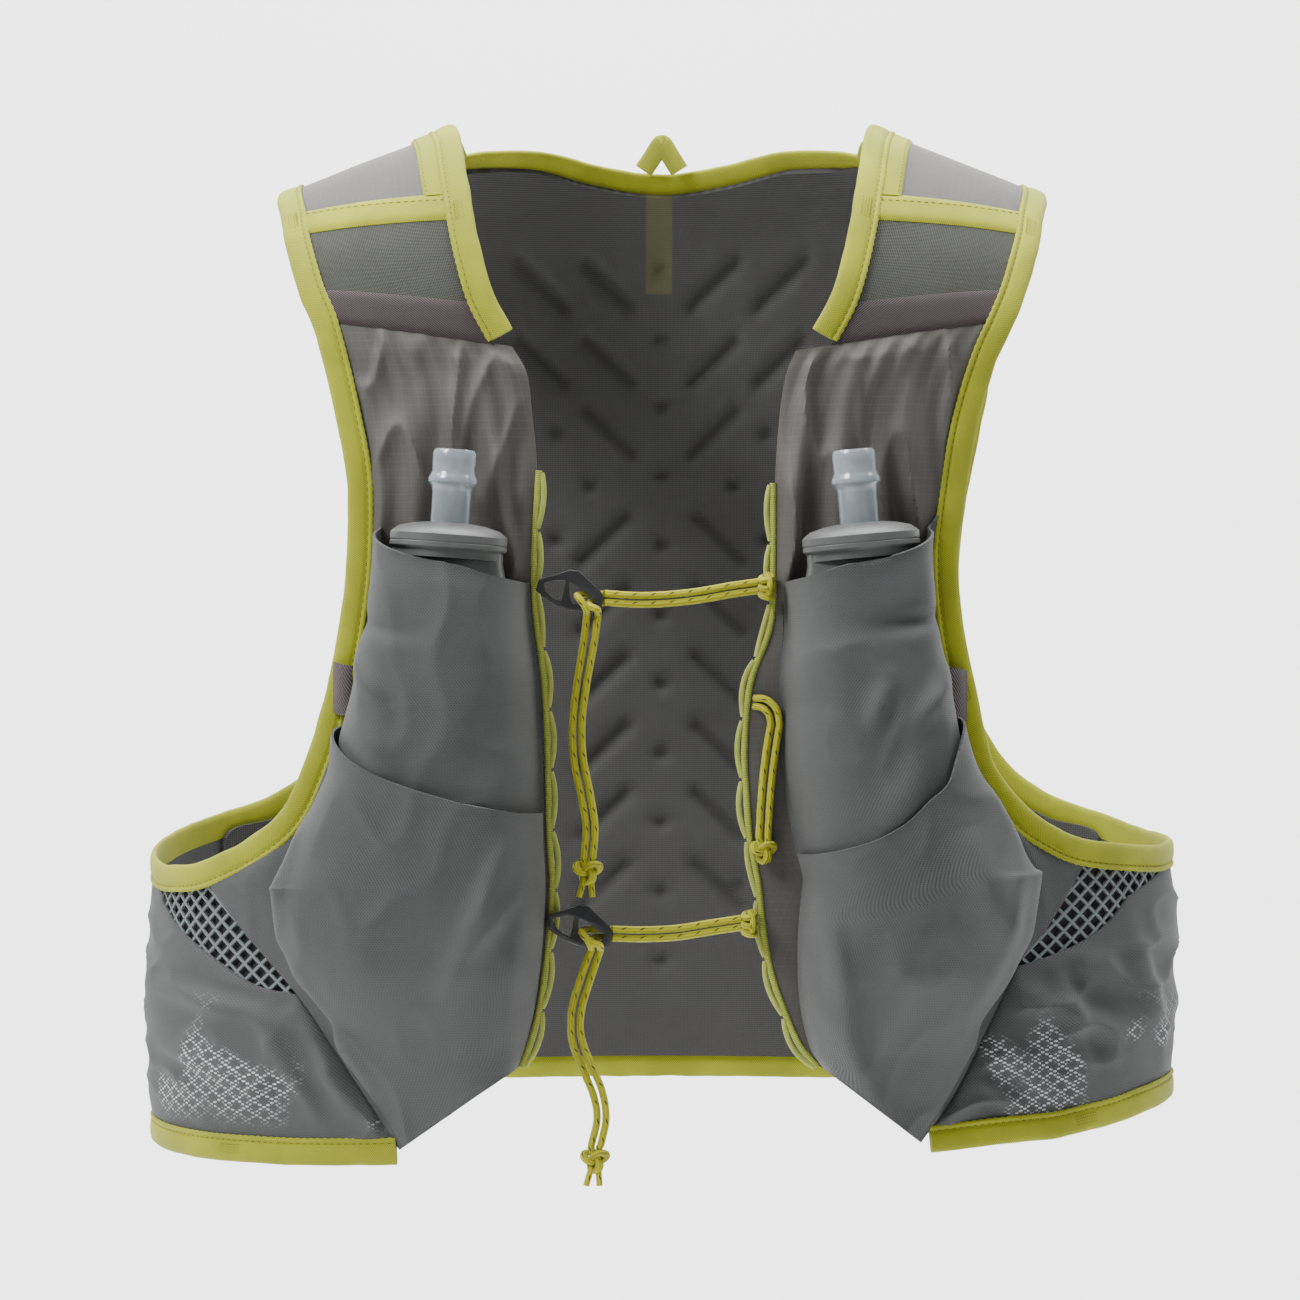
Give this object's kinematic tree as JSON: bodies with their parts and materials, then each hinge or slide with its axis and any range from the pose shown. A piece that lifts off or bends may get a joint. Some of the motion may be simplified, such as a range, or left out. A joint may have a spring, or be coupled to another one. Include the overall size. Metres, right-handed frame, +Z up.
{
  "type": "running hydration vest",
  "caption": "Close-fitting running vest with mesh back, soft flasks in bulging chest pockets, bound arm and neck edges, side net windows and hooked sternum cords.",
  "frame": {"origin": "middle of the shoulder seat, level with the top of the neck side of the straps", "axes": "+Z up, the wearer looks towards -Y, +X to the viewer's right in front of the vest"},
  "size_m": [0.4416, 0.271, 0.4434],
  "materials": {
    "lime_binding": "matt knitted stretch binding",
    "pocket_mesh": "fine stretch power mesh",
    "ripstop": "crinkled light ripstop",
    "back_mesh": "padded spacer mesh",
    "sheer_mesh": "sheer open mesh",
    "side_net": "open diamond net",
    "plum_elastic": "ribbed elastic",
    "ladder_webbing": "narrow woven webbing",
    "lime_cord": "braided cord with dark flecks",
    "hook_plastic": "satin moulded",
    "flask_film": "soft translucent film",
    "flask_cap": "fine satin moulded",
    "bite_valve": "clear soft silicone"
  },
  "bodies": {
    "root": {"shoulder_yoke_left": "ripstop", "yoke_binding_left": "lime_binding", "shoulder_binding_left": "lime_binding", "shoulder_mesh_left": "sheer_mesh", "shoulder_elastic_left": "plum_elastic", "chest_panel_left": "ripstop", "bottle_pocket_left": "pocket_mesh", "stash_pocket_left": "pocket_mesh", "armhole_binding_left": "lime_binding", "side_net_left": "side_net", "side_pocket_left": "pocket_mesh", "edge_ladder_left": "ladder_webbing", "loop_tab_left": "plum_elastic", "flask_body_left": "flask_film", "flask_cap_left": "flask_cap", "flask_valve_left": "bite_valve", "shoulder_yoke_right": "ripstop", "yoke_binding_right": "lime_binding", "shoulder_binding_right": "lime_binding", "shoulder_mesh_right": "sheer_mesh", "shoulder_elastic_right": "plum_elastic", "chest_panel_right": "ripstop", "bottle_pocket_right": "pocket_mesh", "stash_pocket_right": "pocket_mesh", "armhole_binding_right": "lime_binding", "side_net_right": "side_net", "side_pocket_right": "pocket_mesh", "edge_ladder_right": "ladder_webbing", "loop_tab_right": "plum_elastic", "flask_body_right": "flask_film", "flask_cap_right": "flask_cap", "flask_valve_right": "bite_valve", "neck_binding": "lime_binding", "hanger_tape": "lime_binding", "hang_loop": "lime_binding", "hem_binding": "lime_binding", "back_panel": "back_mesh", "back_shell": "ripstop", "hook_upper": "hook_plastic", "ladder_knot_upper": "lime_cord", "tail_knot_upper": "lime_cord", "chest_cord_upper_a": "lime_cord", "tail_upper_a": "lime_cord", "chest_cord_upper_b": "lime_cord", "tail_upper_b": "lime_cord", "hook_lower": "hook_plastic", "ladder_knot_lower": "lime_cord", "tail_knot_lower": "lime_cord", "chest_cord_lower_a": "lime_cord", "tail_lower_a": "lime_cord", "chest_cord_lower_b": "lime_cord", "tail_lower_b": "lime_cord", "spare_cord_a": "lime_cord", "spare_cord_b": "lime_cord", "spare_knot": "lime_cord"}
  },
  "joints": []
}
